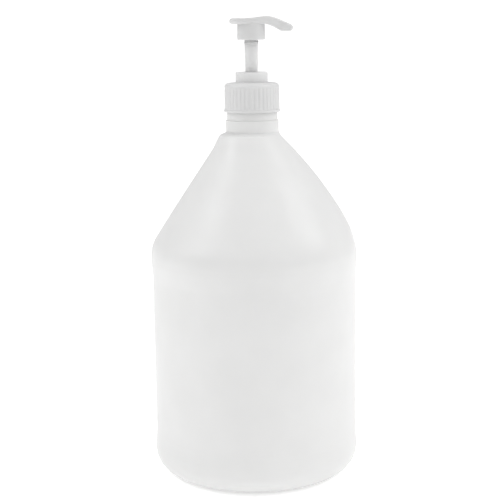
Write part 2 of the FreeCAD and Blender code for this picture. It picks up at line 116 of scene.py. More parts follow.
def curve_through(knots, x):
    """The height at x of a smooth curve through knots (x, y, slope)."""
    for (x0, y0, s0), (x1, y1, s1) in zip(knots, knots[1:]):
        if x <= x1:
            break
    span = x1 - x0
    t = min(max((x - x0) / span, 0.0), 1.0)
    return (y0 * (2 * t**3 - 3 * t**2 + 1) + s0 * span * (t**3 - 2 * t**2 + t)
            + y1 * (3 * t**2 - 2 * t**3) + s1 * span * (t**3 - t**2))


def smooth_step(edge0, edge1, x):
    """0 at edge0 and 1 at edge1, with a smooth rise between."""
    t = min(max((x - edge0) / (edge1 - edge0), 0.0), 1.0)
    return t * t * (3 - 2 * t)


# ---------------------------------------------------------------- meshes

def even_angles(count):
    """Angles in equal steps, once round."""
    return [TURN * k / count for k in range(count)]


def ring(radius, height, angles, shift=(0.0, 0.0)):
    """Points at the angles of a level circle, whose centre is set over from the axis by shift."""
    return [Vector((radius * math.cos(a) + shift[0], radius * math.sin(a) + shift[1], height))
            for a in angles]


def bridge(bm, first, last):
    """Faces between two rings of the same length, or between a ring and a single point."""
    count = max(len(first), len(last))
    for k in range(count):
        n = (k + 1) % count
        if len(first) == 1:
            bm.faces.new((first[0], last[k], last[n]))
        elif len(last) == 1:
            bm.faces.new((first[n], first[k], last[0]))
        else:
            bm.faces.new((first[n], first[k], last[k], last[n]))


def add_rows(bm, rows, closed=False):
    """Adds a surface that runs through rings of points. A closed one joins its last ring to its first."""
    rings = [[bm.verts.new(p * MM) for p in row] for row in rows]
    for first, last in zip(rings, rings[1:]):
        bridge(bm, first, last)
    if closed:
        bridge(bm, rings[-1], rings[0])


def add_turned(bm, corners, count=96, longest=4.0, steps=5):
    """Adds a closed outline turned about the Z axis."""
    path = rounded(corners, steps)
    path = spaced(path + path[:1], longest)[:-1]
    add_rows(bm, [ring(p.x, p.y, even_angles(count)) for p in path], closed=True)


THREAD_STEPS = 72
THREAD_SUNK = 0.3
BOTTLE_THREAD = {"half": 1.1, "tip": 0.5, "pitch": 4.233, "turns": 1.0}
LOCK_THREAD = {"half": 0.45, "tip": 0.15, "pitch": 2.2, "turns": 1.5}


def add_thread(bm, root, crest, bottom, half, tip, pitch, turns):
    """Adds a right-hand thread ridge from radius root to radius crest. It fades in and out at its ends.

    Half and tip are half the ridge's height at its root and at its crest.
    """
    steps = int(THREAD_STEPS * turns)
    rows = []
    for k in range(steps + 1):
        share = k / steps
        lift = smooth_step(0, 0.08, share) * smooth_step(1, 0.92, share)
        top = root + (crest - root) * max(lift, 0.02)
        angle, z = TURN * turns * share, bottom + pitch * turns * share
        section = [(root, z - half), (top, z - tip), (top, z + tip), (root, z + half)]
        rows.append([Vector((r * math.cos(angle), r * math.sin(angle), y)) for r, y in section])
    middle = [sum(row, Vector()) / len(row) for row in (rows[0], rows[-1])]
    add_rows(bm, [[middle[0]]] + rows + [[middle[1]]])


def new_piece(name, bm, body, material, slot, *stands_for, sharp=35.0):
    """Makes the object from a bmesh, shades it smooth and ties it to its CAD body."""
    bmesh.ops.recalc_face_normals(bm, faces=bm.faces)
    mesh = bpy.data.meshes.new(name)
    bm.to_mesh(mesh)
    bm.free()
    return dress(name, mesh, body, material, slot, *stands_for, sharp=sharp)


def dress(name, mesh, body, material, slot, *stands_for, sharp=35.0):
    """Makes the object from a mesh. Edges sharper than sharp degrees stay sharp."""
    mesh.materials.clear()
    mesh.materials.append(material)
    mesh.polygons.foreach_set("use_smooth", [True] * len(mesh.polygons))
    mesh.set_sharp_from_angle(angle=math.radians(sharp))
    piece = bpy.data.objects.new(name, mesh)
    bpy.context.scene.collection.objects.link(piece)
    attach(piece, body)
    if stands_for:
        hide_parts(*stands_for)
    return piece


# ---------------------------------------------------------------- materials

def node(tree, kind, **values):
    """A new shader node, with its inputs or its own properties set by name."""
    made = tree.nodes.new(kind)
    for key, value in values.items():
        if key in made.inputs:
            made.inputs[key].default_value = value
        else:
            setattr(made, key, value)
    return made


def ranged(tree, value, spans, blend="LINEAR"):
    """The value carried from spans' first two numbers to its last two."""
    ramp = node(tree, "ShaderNodeMapRange", interpolation_type=blend)
    for key, number in zip(("From Min", "From Max", "To Min", "To Max"), spans):
        ramp.inputs[key].default_value = number
    tree.links.new(value, ramp.inputs["Value"])
    return ramp.outputs["Result"]


def noise_map(tree, coords, scale, low_value, high_value, detail=3.0, stretch=(1, 1, 1)):
    """A noise in metres of the object, spread from low_value to high_value."""
    turned = node(tree, "ShaderNodeMapping", Scale=stretch)
    grain = node(tree, "ShaderNodeTexNoise", Scale=scale, Detail=detail)
    tree.links.new(coords.outputs["Object"], turned.inputs["Vector"])
    tree.links.new(turned.outputs["Vector"], grain.inputs["Vector"])
    return ranged(tree, grain.outputs["Fac"], (0.3, 0.7, low_value, high_value))


PLASTIC_IOR = 1.5
SCUFF = 0.06
WORN_EDGE, WORN_PALER = (0.505, 0.56, 0.0, 0.5), 1.04


def moulded(name, pale, deep, rough, grain_size, grain_depth, scatter, scatter_depth=1.0, thick_wall_and_shade=None):
    """A moulded plastic: faint clouds of colour, a fine skin texture, and scuffs on what stands proud.

    A thick_wall_and_shade of (low, high, keep) greys the plastic from one height to the other, partly
    where its wall grows thick and partly as painted shade under the part above it.
    """
    material = bpy.data.materials.new(name)
    material.use_nodes = True
    tree = material.node_tree
    shader = tree.nodes["Principled BSDF"]
    coords = node(tree, "ShaderNodeTexCoord")
    shape = node(tree, "ShaderNodeNewGeometry")
    clouds = noise_map(tree, coords, 35.0, 0.0, 1.0, detail=4.0)
    tint = node(tree, "ShaderNodeMix", data_type="RGBA")
    tint.inputs["A"].default_value = (*deep, 1)
    tint.inputs["B"].default_value = (*pale, 1)
    tree.links.new(clouds, tint.inputs["Factor"])
    edge = ranged(tree, shape.outputs["Pointiness"], WORN_EDGE)
    worn = node(tree, "ShaderNodeMix", data_type="RGBA")
    worn.inputs["B"].default_value = (*[min(1.0, c * WORN_PALER) for c in pale], 1)
    tree.links.new(edge, worn.inputs["Factor"])
    tree.links.new(tint.outputs["Result"], worn.inputs["A"])
    colour = worn.outputs["Result"]
    # Painted shade, partly real: the colour darkens by height, for a thicker wall and for the shade cast by
    # the part above.
    if thick_wall_and_shade:
        start, end, keep = thick_wall_and_shade
        place = node(tree, "ShaderNodeSeparateXYZ")
        tree.links.new(coords.outputs["Object"], place.inputs["Vector"])
        wall_and_shade_grey = ranged(tree, place.outputs["Z"], (start * MM, end * MM, 1.0, keep), "SMOOTHSTEP")
        greyed = node(tree, "ShaderNodeVectorMath", operation="SCALE")
        tree.links.new(colour, greyed.inputs["Vector"])
        tree.links.new(wall_and_shade_grey, greyed.inputs["Scale"])
        colour = greyed.outputs["Vector"]
    tree.links.new(colour, shader.inputs["Base Color"])
    rub = noise_map(tree, coords, 60.0, rough - SCUFF, rough + SCUFF, detail=5.0, stretch=(1, 1, 0.3))
    tree.links.new(rub, shader.inputs["Roughness"])
    skin = noise_map(tree, coords, 1 / (grain_size * MM), 0.0, 1.0, detail=2.0)
    bump = node(tree, "ShaderNodeBump", Strength=1.0, Distance=grain_depth * MM)
    tree.links.new(skin, bump.inputs["Height"])
    tree.links.new(bump.outputs["Normal"], shader.inputs["Normal"])
    shader.inputs["IOR"].default_value = PLASTIC_IOR
    shader.inputs["Subsurface Weight"].default_value = scatter
    shader.inputs["Subsurface Radius"].default_value = (1.0, 1.0, 0.95)
    shader.inputs["Subsurface Scale"].default_value = scatter_depth * MM
    return material


def drawn_steel(name, colour, rough, lines):
    """Steel with a fine grain, drawn out along Z where lines is below 1."""
    material = bpy.data.materials.new(name)
    material.use_nodes = True
    tree = material.node_tree
    shader = tree.nodes["Principled BSDF"]
    coords = node(tree, "ShaderNodeTexCoord")
    stain = noise_map(tree, coords, 220.0, 0.0, 1.0)
    tint = node(tree, "ShaderNodeMix", data_type="RGBA")
    tint.inputs["A"].default_value = (*[c * 0.86 for c in colour], 1)
    tint.inputs["B"].default_value = (*colour, 1)
    tree.links.new(stain, tint.inputs["Factor"])
    tree.links.new(tint.outputs["Result"], shader.inputs["Base Color"])
    rub = noise_map(tree, coords, 900.0, rough * 0.7, rough * 1.4, stretch=(1, 1, lines))
    tree.links.new(rub, shader.inputs["Roughness"])
    bump = node(tree, "ShaderNodeBump", Strength=0.4, Distance=0.01 * MM)
    tree.links.new(rub, bump.inputs["Height"])
    tree.links.new(bump.outputs["Normal"], shader.inputs["Normal"])
    shader.inputs["Metallic"].default_value = 1.0
    return material


def grey(value):
    return (value, value, value)


# The neck is greyed just under the closure: partly its thicker wall, partly painted shade from the closure.
JUG_PLASTIC = moulded(
    "natural_hdpe", (0.70, 0.70, 0.695), (0.68, 0.68, 0.675), rough=0.42, grain_size=0.5, grain_depth=0.012,
    scatter=0.2, scatter_depth=3.0, thick_wall_and_shade=(256.0, 264.0, 0.95))
CAP_PLASTIC = moulded(
    "ribbed_pp", grey(0.62), grey(0.60), rough=0.34, grain_size=0.3, grain_depth=0.006, scatter=0.1)
COLLAR_PLASTIC = moulded(
    "collar_pp", grey(0.69), grey(0.67), rough=0.32, grain_size=0.35, grain_depth=0.005, scatter=0.12)
PUMP_PLASTIC = moulded(
    "pump_pp", grey(0.65), grey(0.63), rough=0.30, grain_size=0.35, grain_depth=0.004,
    scatter=0.4, scatter_depth=2.0)
# Painted shade: a darker copy of the stem's plastic for the head, standing in for the shade the saddle casts
# on its skirt.
SHADED_HEAD_PLASTIC = moulded(
    "head_pp_painted_shade", grey(0.59), grey(0.57), rough=0.30, grain_size=0.35, grain_depth=0.004, scatter=0.25)
SEAL_PLASTIC = moulded(
    "seal_pe", (0.76, 0.76, 0.73), (0.72, 0.72, 0.69), rough=0.5, grain_size=0.25, grain_depth=0.008,
    scatter=0.2)
TUBE_PLASTIC = moulded(
    "tube_pe", (0.74, 0.75, 0.73), (0.70, 0.71, 0.69), rough=0.28, grain_size=0.6, grain_depth=0.004,
    scatter=0.4, scatter_depth=3.0)
FOAM = moulded(
    "liner_foam", (0.82, 0.82, 0.80), (0.74, 0.74, 0.72), rough=0.8, grain_size=0.18, grain_depth=0.05,
    scatter=0.2)
WIRE = drawn_steel("spring_wire", (0.60, 0.60, 0.61), rough=0.28, lines=0.1)
BALL_STEEL = drawn_steel("ball_steel", (0.68, 0.68, 0.69), rough=0.10, lines=1.0)


# ---------------------------------------------------------------- the jug

WALL = 1.2
FOOT_INNER, PUSH_UP = 52.0, 4.0
HEEL = 17.3
PANEL_RECESS, PANEL_ROUND = 0.8, 30.0
PANEL_START, PANEL_LOW, PANEL_HIGH, PANEL_END = 21.5, 31.0, 150.0, 162.0
CONE_HIGH = 255.5
CONE_TOP_RADIUS, CONE_TOP_ROUND = 22.6, 2.0
SHOULDER_CORNER, SHOULDER_ROUND = 173.2, 24.0
NECK_RING, LAND, NECK, BORE = 19.65, 18.75, 17.4, 15.4
NECK_LOW, RING_HIGH, LAND_HIGH, NECK_START = 257.6, 266.5, 272.0, 275.6
BORE_START = 261.0
NECK_CREST, NECK_THREAD_LOW = 18.65, 280.0
FULL_SIDE = math.radians(30.0)
SWELL = [
    (173.0, 0.0, 0.02), (187.0, 2.0, 0.09), (207.0, 2.9, 0.0), (231.0, 2.05, -0.085),
    (CONE_HIGH, 0.0, 0.0),
]
LEAN, LEAN_REACH = 2.0, 12.0
SEAM_HALF_WIDTH, SEAM_HEIGHT = 0.35, 0.1
WAVE_DEPTH, WAVES_ROUND, WAVE_LENGTH = 0.22, 1.6, 55.0
JUG_SEGMENTS, FLOOR_STEPS = 180, 8
OUTSIDE_RUN, INSIDE_RUN = 3.5, 7.0


def swell(z):
    """How much wider the shoulder's rings are, and how far they are set over, towards their fuller side."""
    return curve_through(SWELL, z)


def lean(z):
    """How far the top of the cone is set over the other way, so that its ledge is wider there."""
    rise = smooth_step(CONE_HIGH - LEAN_REACH, CONE_HIGH, z)
    return LEAN * rise * smooth_step(NECK_LOW, CONE_HIGH + 0.3, z)


def jug_outline(inset):
    """Half of the jug's section, from the middle of its floor to its rim.

    The outside has an inset of 0, and the cavity an inset of the wall.
    """
    side, panel = JUG_RADIUS - inset, JUG_RADIUS - PANEL_RECESS - inset
    floor = [(FOOT_INNER * k / FLOOR_STEPS, PUSH_UP * (1 - (k / FLOOR_STEPS) ** 2) + inset, 0)
             for k in range(FLOOR_STEPS)]
    if inset:
        neck = [(BORE, BORE_START, 2.0), (BORE, RIM - 1, 0)]
    else:
        neck = [
            (NECK_RING, NECK_LOW, 0.8), (NECK_RING, RING_HIGH, 0.6), (LAND, RING_HIGH, 0.3),
            (LAND, LAND_HIGH, 1.0), (NECK, NECK_START, 0.8), (NECK, RIM, 0.35), (BORE, RIM, 0.35),
        ]
    return floor + [
        (FOOT_INNER, inset, 3.0), (side, inset, HEEL - inset),
        (side, PANEL_START, PANEL_ROUND), (panel, PANEL_LOW, PANEL_ROUND),
        (panel, PANEL_HIGH, PANEL_ROUND), (side, PANEL_END, PANEL_ROUND),
        (side, SHOULDER_CORNER, SHOULDER_ROUND - inset),
        (CONE_TOP_RADIUS - inset, CONE_HIGH, CONE_TOP_ROUND),
    ] + neck


def jug_angles():
    """Even steps round the jug, with a few more at each mould seam, in the plane of the spout."""
    offsets = [f * SEAM_HALF_WIDTH / JUG_RADIUS for f in (-2.0, -1.0, -0.5, 0.5, 1.0, 2.0)]
    seams = [(side + offset) % TURN for side in (0, math.pi) for offset in offsets]
    return sorted(even_angles(JUG_SEGMENTS) + seams)


def jug_ring(radius, z, outside):
    """One ring of the jug. The outside carries the mould seams and the faint waves of a blown wall."""
    over = swell(z)
    offset = over - lean(z)
    shift = (offset * math.cos(FULL_SIDE), offset * math.sin(FULL_SIDE))
    if not outside:
        return ring(radius + over, z, jug_angles(), shift)
    seam_fade = smooth_step(2.0, 12.0, z) * smooth_step(RIM - 20, RIM - 24, z)
    wave_fade = smooth_step(10.0, 30.0, z) * smooth_step(CONE_HIGH, CONE_HIGH - 30, z)
    points = []
    for a in jug_angles():
        off_seam = abs(math.remainder(a, math.pi)) * JUG_RADIUS
        seam = SEAM_HEIGHT * (1 - smooth_step(0.0, SEAM_HALF_WIDTH, off_seam)) - SEAM_HEIGHT
        where = Vector((math.cos(a) * WAVES_ROUND, math.sin(a) * WAVES_ROUND, z / WAVE_LENGTH))
        wave = -WAVE_DEPTH * (0.5 + 0.5 * noise.noise(where))
        reach = radius + over + seam * seam_fade + wave * wave_fade
        points += ring(reach, z, [a], shift)
    return points


def make_jug():
    bm = bmesh.new()
    outside = spaced(rounded(jug_outline(0.0)), OUTSIDE_RUN)
    inside = spaced(rounded(jug_outline(WALL)), INSIDE_RUN)
    rows = [[Vector((0, 0, outside[0].y))]]
    rows += [jug_ring(p.x, p.y, True) for p in outside[1:]]
    rows += [jug_ring(p.x, p.y, False) for p in reversed(inside[1:])]
    rows += [[Vector((0, 0, inside[0].y))]]
    add_rows(bm, rows)
    add_thread(bm, NECK - THREAD_SUNK, NECK_CREST, NECK_THREAD_LOW, **BOTTLE_THREAD)
    return new_piece("jug", bm, "jug", JUG_PLASTIC, "natural_hdpe", "bottle", sharp=50.0)


# ---------------------------------------------------------------- the closure

CAP_INNER, CAP_HOLE, CAP_CEILING = 18.95, 10.4, 291.95
CAP_BAND_HIGH, CAP_WALL_LOW = 1.7, 1.9
CAP_CREST, CAP_THREAD_LOW = 17.75, 277.9
FLUTES, FLUTE_ROUND, FLUTE_DEPTH = 40, 1.2, 0.34
SAMPLES_PER_FLUTE = 12


def flute(angle, radius):
    """How deep the ribbed wall is cut at an angle."""
    step = TURN / FLUTES
    across = math.remainder(angle - step / 2, step) * radius
    return max(0.0, math.sqrt(max(FLUTE_ROUND**2 - across**2, 0.0)) - (FLUTE_ROUND - FLUTE_DEPTH))


def make_closure():
    """The screw closure: a smooth band at its foot, and ribs that fade out below its rounded top."""
    wall, top = CAP_BAND - 0.45, CAP_BAND - 0.7
    wall_low = CAP_LOW + CAP_WALL_LOW
    corners = [
        (CAP_INNER, CAP_LOW, 0.3), (CAP_BAND, CAP_LOW, 0.35), (CAP_BAND, CAP_LOW + CAP_BAND_HIGH, 0.3),
        (wall, wall_low, 0.1), (top, CAP_HIGH - 0.8, 2.9), (CAP_HOLE + 1.6, CAP_HIGH, 0.6),
        (CAP_HOLE, CAP_HIGH, 0.3), (CAP_HOLE, CAP_CEILING, 0.2), (CAP_INNER, CAP_CEILING, 0.6),
    ]
    path = rounded(corners, 6)
    path = spaced(path + path[:1], 1.6)[:-1]
    angles = even_angles(FLUTES * SAMPLES_PER_FLUTE)
    rows = []
    for p in path:
        fade = smooth_step(wall_low, CAP_LOW + 2.5, p.y)
        fade *= smooth_step(CAP_HIGH - 3.2, CAP_HIGH - 4.4, p.y)
        cut = fade if p.x > CAP_INNER + 0.6 else 0.0
        rows.append([ring(p.x - cut * flute(a, p.x), p.y, [a])[0] for a in angles])
    bm = bmesh.new()
    add_rows(bm, rows, closed=True)
    add_thread(bm, CAP_INNER + THREAD_SUNK, CAP_CREST, CAP_THREAD_LOW, **BOTTLE_THREAD)
    return new_piece("ribbed_closure", bm, "cap", CAP_PLASTIC, "white_pp", "closure", sharp=40.0)


# ---------------------------------------------------------------- collar and stem

GUIDE_INNER, GUIDE_RADIUS, GUIDE_LOW = 5.05, 8.35, 286.0
COLLAR_SKIRT_INNER, COLLAR_ROOF = 10.15, 299.3
LOCK_HOLE, LOCK_FLOOR = 5.9, 296.6
LOCK_CREST, LOCK_THREAD_LOW = 5.45, 297.5

STEM_BORE, STEM_TIP_BORE, STEM_END = 2.6, 2.0, 4.1
STEM_WAIST, WAIST_LOW, WAIST_HIGH = 3.6, 271.2, 282.0
STEM_RADIUS, STEM_TOP_RADIUS, STEM_TAPER_ROUND = 4.55, 4.9, 3.0
PLUG_RADIUS, BALL_SEAT_RADIUS, BALL_SEAT_LOW = 4.0, 3.4, 325.6


def make_collar():
    """The ring on the closure. Its sleeve guides the stem, and its hole has the head's thread."""
    bm = bmesh.new()
    add_turned(bm, [
        (GUIDE_INNER, GUIDE_LOW, 0.3), (GUIDE_RADIUS, GUIDE_LOW, 0.4), (GUIDE_RADIUS, COLLAR_ROOF, 0.2),
        (COLLAR_SKIRT_INNER, COLLAR_ROOF, 0.3), (COLLAR_SKIRT_INNER, COLLAR_LOW, 0.2),
        (COLLAR_RADIUS - 0.7, COLLAR_LOW, 0.3), (COLLAR_RADIUS, COLLAR_LOW + 0.8, 0.5),
        (COLLAR_RADIUS, COLLAR_HIGH, 0.6), (LOCK_HOLE, COLLAR_HIGH, 0.35), (LOCK_HOLE, LOCK_FLOOR, 0.2),
        (GUIDE_INNER, LOCK_FLOOR, 0.2),
    ], count=128, longest=2.5)
    add_thread(bm, LOCK_HOLE + THREAD_SUNK, LOCK_CREST, LOCK_THREAD_LOW, **LOCK_THREAD)
    return new_piece("collar", bm, "pump", COLLAR_PLASTIC, "white_pp", "lock_collar")


def make_stem():
    """The hollow stem: a waist for the piston at its foot, a slight taper, and a plug on top."""
    bm = bmesh.new()
    add_turned(bm, [
        (STEM_BORE, STEM_LOW, 0.2), (STEM_END, STEM_LOW, 0.3), (STEM_END, WAIST_LOW, 0.2),
        (STEM_WAIST, WAIST_LOW, 0.0), (STEM_WAIST, WAIST_HIGH, 0.0), (STEM_RADIUS, WAIST_HIGH, 0.2),
        (STEM_RADIUS, COLLAR_HIGH, STEM_TAPER_ROUND), (STEM_TOP_RADIUS, HEAD_LOW, 0.2),
        (PLUG_RADIUS, HEAD_LOW, 0.0), (PLUG_RADIUS, STEM_HIGH, 0.2), (BALL_SEAT_RADIUS, STEM_HIGH, 0.1),
        (STEM_TIP_BORE, BALL_SEAT_LOW, 0.0), (STEM_TIP_BORE, HEAD_LOW, 0.0),
        (STEM_BORE, HEAD_LOW - 0.6, 0.0),
    ], count=96, longest=2.5)
    return new_piece("pump_stem", bm, "actuator", PUMP_PLASTIC, "white_pp", "stem")


# ---------------------------------------------------------------- the actuator head

PLATE_LOW = 336.2
SPOUT_LOW = 330.8
SPOUT_ROOT_X = 21.0
HEAD_TOP = [
    (-LIP_END, 339.3, 1.2), (-13.0, 340.5, 0.03), (-4.5, 340.5, 0.03), (3.2, 341.0, 0.12),
    (11.3, HEAD_HIGH, 0.0), (21.0, 339.3, -0.44), (SPOUT_END, 335.1, -0.4),
]
HEAD_UNDER = [
    (-LIP_END, 336.4, -0.2), (-12.0, PLATE_LOW, 0.0), (8.5, PLATE_LOW, 0.0), (12.4, 335.6, -0.3),
    (19.6, 332.3, -0.48), (22.4, SPOUT_LOW, -0.05), (SPOUT_END, SPOUT_LOW, 0.0),
]
PLATE_SIDE_CURVE = 62.0
SPOUT_ROOT_HALF, SPOUT_HALF, SPOUT_CORNER = 4.4, 3.3, 2.2
BACK_STEPS, SIDE_STEPS = 18, 24
TOP_STEPS, UNDER_STEPS = 5, 6
PLATE_EDGE, SPOUT_EDGE = 0.9, 0.7
DISH = 0.5
ACROSS = 7

SKIRT_LOW, SKIRT_RADIUS, SKIRT_WALL = 324.8, 10.2, 1.2
SKIRT_ROOF, SKIRT_HIGH = 334.6, 337.2
BOSS_INNER, BOSS_RADIUS, BOSS_THREAD_LOW = 4.02, 4.95, 321.2
BALL_ROOM, BALL_ROOM_LOW, BALL_ROOM_HIGH = 3.6, 326.9, 332.6
WELL, WELL_LOW, WELL_HIGH = 2.2, 333.2, 338.2
ON_AXIS = 0.01
CHANNEL_RADIUS = 1.0
CHANNEL_WAY = [(0, 337.6), (11, 337.9), (17, 336.8), (22, 334.8), (26, 333.4), (32, 333.0)]


def plate_plan():
    """Half of the plate's plan, from the middle of its back lip to the middle of the spout's end."""
    middle = -LIP_END + PLATE_HALF
    back = [Vector((middle - PLATE_HALF * math.cos(a), PLATE_HALF * math.sin(a)))
            for a in (math.pi / 2 * k / BACK_STEPS for k in range(BACK_STEPS))]
    first, last = Vector((middle, PLATE_HALF)), Vector((SPOUT_ROOT_X, SPOUT_ROOT_HALF))
    chord = last - first
    rise = math.sqrt(PLATE_SIDE_CURVE**2 - (chord.length / 2) ** 2)
    centre = (first + last) / 2 + Vector((chord.y, -chord.x)).normalized() * rise
    sweep = (last - centre).angle_signed(first - centre)
    side = [centre + Matrix.Rotation(sweep * k / SIDE_STEPS, 2) @ (first - centre)
            for k in range(SIDE_STEPS)]
    spout = rounded([(*last, 0), (SPOUT_END, SPOUT_HALF, SPOUT_CORNER), (SPOUT_END, 0, 0)], 8)
    return back + side + spaced(spout, 1.2)


def add_plate(bm):
    """The saddle: rings round its plan, and rows across its top and its underside."""
    half = plate_plan()
    plan = half + [Vector((p.x, -p.y)) for p in reversed(half[1:-1])]
    count = len(plan)
    outward = []
    for k, p in enumerate(plan):
        along = plan[(k + 1) % count] - plan[k - 1]
        outward.append(Vector((-along.y, along.x)).normalized())
    levels = []
    for k in range(TOP_STEPS + 1):
        a = math.pi / 2 * k / TOP_STEPS
        levels.append(("top", 1 - math.sin(a), 1 - math.cos(a)))
    for k in range(UNDER_STEPS + 1):
        a = math.pi / 2 * k / UNDER_STEPS
        levels.append(("under", 1 - math.cos(a), 1 - math.sin(a)))
    rings = []
    for face, inward, drop in levels:
        row = []
        for p, out in zip(plan, outward):
            thick = curve_through(HEAD_TOP, p.x) - curve_through(HEAD_UNDER, p.x)
            slim = smooth_step(12.0, 24.0, p.x)
            edge = min(0.45 * thick, PLATE_EDGE + SPOUT_EDGE * slim) if face == "top" else 0.5 * thick
            spot = p - out * (edge * inward)
            if face == "top":
                z = curve_through(HEAD_TOP, spot.x) - edge * drop
            else:
                z = curve_through(HEAD_UNDER, spot.x) + edge * drop
            row.append(bm.verts.new(Vector((spot.x, spot.y, z)) * MM))
        rings.append(row)
    for first, last in zip(rings, rings[1:]):
        bridge(bm, first, last)
    fill_across(bm, rings[0], dished=True)
    fill_across(bm, rings[-1], dished=False)


def fill_across(bm, row, dished):
    """Closes a ring that is symmetric about the XZ plane with rows of quads across it.

    A dished one sinks a little in its middle, for the thumb.
    """
    count = len(row)
    lines = [[row[0]]]
    for k in range(1, count // 2):
        left, right = row[k], row[count - k]
        line = [left]
        for j in range(1, ACROSS):
            share = j / ACROSS
            p = left.co.lerp(right.co, share)
            dip = DISH * math.sin(math.pi * share) * smooth_step(4.0, -2.0, p.x / MM) if dished else 0.0
            dip *= smooth_step(-LIP_END + 0.9, -LIP_END + 6, p.x / MM)
            line.append(bm.verts.new(Vector((p.x, p.y, p.z - dip * MM))))
        lines.append(line + [right])
    lines.append([row[count // 2]])
    for first, last in zip(lines, lines[1:]):
        wide = first if len(first) > 1 else last
        for j in range(len(wide) - 1):
            if len(first) == 1:
                bm.faces.new((first[0], last[j], last[j + 1]))
            elif len(last) == 1:
                bm.faces.new((first[j], first[j + 1], last[0]))
            else:
                bm.faces.new((first[j], first[j + 1], last[j + 1], last[j]))


def add_tube(bm, points, radius, count=24):
    """A closed round tube that follows points in the XZ plane."""
    rows = []
    for k, p in enumerate(points):
        ahead = points[min(k + 1, len(points) - 1)] - points[max(k - 1, 0)]
        up = Vector((-ahead.z, 0, ahead.x)).normalized()
        side = Vector((0, 1, 0))
        rows.append([p + (up * math.cos(a) + side * math.sin(a)) * radius for a in even_angles(count)])
    add_rows(bm, [[points[0]]] + rows + [[points[-1]]])


def as_object(name, bm):
    """An object of its own from a bmesh, with no material yet."""
    bmesh.ops.recalc_face_normals(bm, faces=bm.faces)
    mesh = bpy.data.meshes.new(name)
    bm.to_mesh(mesh)
    bm.free()
    thing = bpy.data.objects.new(name, mesh)
    bpy.context.scene.collection.objects.link(thing)
    return thing


def combined(base, steps):
    """The mesh of base after exact booleans with each (operation, object), whose objects are then removed."""
    for operation, tool in steps:
        change = base.modifiers.new(operation, "BOOLEAN")
        change.operation = operation
        change.solver = "EXACT"
        change.object = tool
    graph = bpy.context.evaluated_depsgraph_get()
    mesh = bpy.data.meshes.new_from_object(base.evaluated_get(graph), depsgraph=graph)
    for thing in [base] + [tool for _, tool in steps]:
        bpy.data.objects.remove(thing)
    return mesh


def make_head():
    """The saddle with its skirt and boss, cut by the outlet ball's room, the well over it and the channel."""
    plate_bm = bmesh.new()
    add_plate(plate_bm)
    plate = as_object("head_plate", plate_bm)

    skirt_bm = bmesh.new()
    inner = SKIRT_RADIUS - SKIRT_WALL
    add_turned(skirt_bm, [
        (BOSS_INNER, HEAD_LOW, 0.15), (BOSS_RADIUS, HEAD_LOW, 0.25), (BOSS_RADIUS, SKIRT_ROOF, 0.6),
        (inner, SKIRT_ROOF, 0.8), (inner, SKIRT_LOW, 0.3), (SKIRT_RADIUS, SKIRT_LOW, 0.8),
        (SKIRT_RADIUS - 0.15, SKIRT_HIGH, 0.0), (BOSS_INNER, SKIRT_HIGH, 0.0),
    ], count=96, longest=2.5)
    skirt = as_object("head_skirt", skirt_bm)

    bore_bm = bmesh.new()
    add_turned(bore_bm, [
        (ON_AXIS, BALL_ROOM_LOW, 0), (BALL_ROOM, BALL_ROOM_LOW, 0), (BALL_ROOM, BALL_ROOM_HIGH, 0.4),
        (WELL, WELL_LOW, 0.3), (WELL, WELL_HIGH, 0.8), (ON_AXIS, WELL_HIGH, 0),
    ], count=48)
    bore = as_object("head_bore", bore_bm)

    channel_bm = bmesh.new()
    add_tube(channel_bm, [Vector((x, 0, z)) for x, z in CHANNEL_WAY], CHANNEL_RADIUS)
    channel = as_object("head_channel", channel_bm)

    mesh = combined(plate, [("UNION", skirt), ("DIFFERENCE", bore), ("DIFFERENCE", channel)])
    dress("saddle_head", mesh, "actuator", SHADED_HEAD_PLASTIC, "white_pp", "pump_head", sharp=32.0)

    thread_bm = bmesh.new()
    add_thread(thread_bm, BOSS_RADIUS - THREAD_SUNK, LOCK_CREST, BOSS_THREAD_LOW, **LOCK_THREAD)
    new_piece("head_thread", thread_bm, "actuator", PUMP_PLASTIC, "white_pp")


# ---------------------------------------------------------------- the return spring

WIRE_RADIUS = 0.5
ACTIVE_TURNS, CLOSED_TURNS = 7.0, 1.0
CLOSED_SPACING = 1.02
STEPS_A_TURN, WIRE_SIDES = 36, 12


def make_spring():
    """A round wire spring with closed ends, at its rest length; the real spring shortens as the pump is
    pressed.
    """
    coil = SPRING_RADIUS - WIRE_RADIUS
    turns = ACTIVE_TURNS + 2 * CLOSED_TURNS
    first, last = SPRING_LOW + WIRE_RADIUS, SPRING_HIGH - WIRE_RADIUS
    close = 2 * WIRE_RADIUS * CLOSED_TURNS * CLOSED_SPACING
    knots = [(0, first, 0), (CLOSED_TURNS, first + close, 2 * WIRE_RADIUS),
             (turns - CLOSED_TURNS, last - close, 2 * WIRE_RADIUS), (turns, last, 0)]
    steps = int(turns * STEPS_A_TURN)
    rows = []
    for k in range(steps + 1):
        turn = turns * k / steps
        if CLOSED_TURNS < turn < turns - CLOSED_TURNS:
            share = (turn - CLOSED_TURNS) / ACTIVE_TURNS
            z = knots[1][1] + (knots[2][1] - knots[1][1]) * share
        else:
            z = curve_through(knots[:2] if turn <= CLOSED_TURNS else knots[2:], turn)
        out = Vector((math.cos(TURN * turn), math.sin(TURN * turn), 0))
        centre = out * coil + Vector((0, 0, z))
        rows.append([centre + (out * math.cos(a) + Vector((0, 0, math.sin(a)))) * WIRE_RADIUS
                     for a in even_angles(WIRE_SIDES)])
    ends = [sum(row, Vector()) / len(row) for row in (rows[0], rows[-1])]
    bm = bmesh.new()
    add_rows(bm, [[ends[0]]] + rows + [[ends[1]]])
    spring = new_piece("spring_coil", bm, "pump", WIRE, "steel", "return_spring", sharp=60.0)
    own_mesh(spring)


# ---------------------------------------------------------------- carried-over CAD pieces

